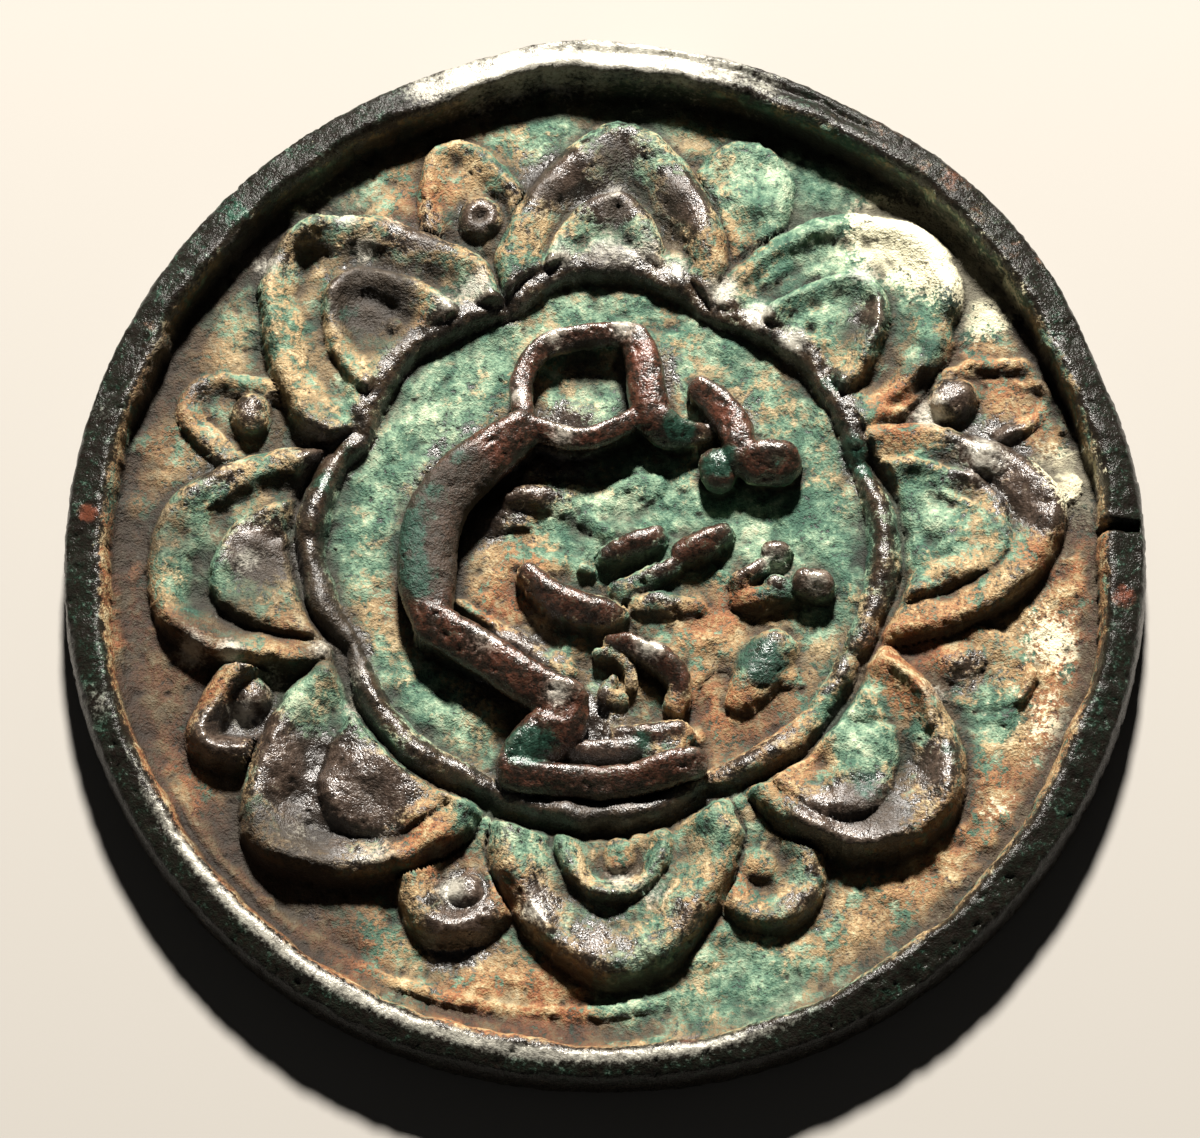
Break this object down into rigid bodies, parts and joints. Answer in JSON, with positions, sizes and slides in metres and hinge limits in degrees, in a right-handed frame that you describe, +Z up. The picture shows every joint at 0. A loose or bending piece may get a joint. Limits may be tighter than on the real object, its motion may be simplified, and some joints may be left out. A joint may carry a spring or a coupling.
{
  "type": "bronze mirror",
  "caption": "Round cast bronze hand mirror seen from its ornamented back: raised rim, a ring of petals in relief and a free scrolling figure with a cord loop at the centre",
  "frame": {"origin": "centre of the flat reflecting face, which is the underside", "axes": "+Z up out of the ornamented back, +Y towards the picture's top, +X towards the picture's right"},
  "size_m": [0.0658, 0.066, 0.0057],
  "materials": {
    "bronze": "dark patinated cast bronze with green and ochre corrosion"
  },
  "bodies": {
    "root": {"mirror": "bronze"}
  },
  "joints": []
}
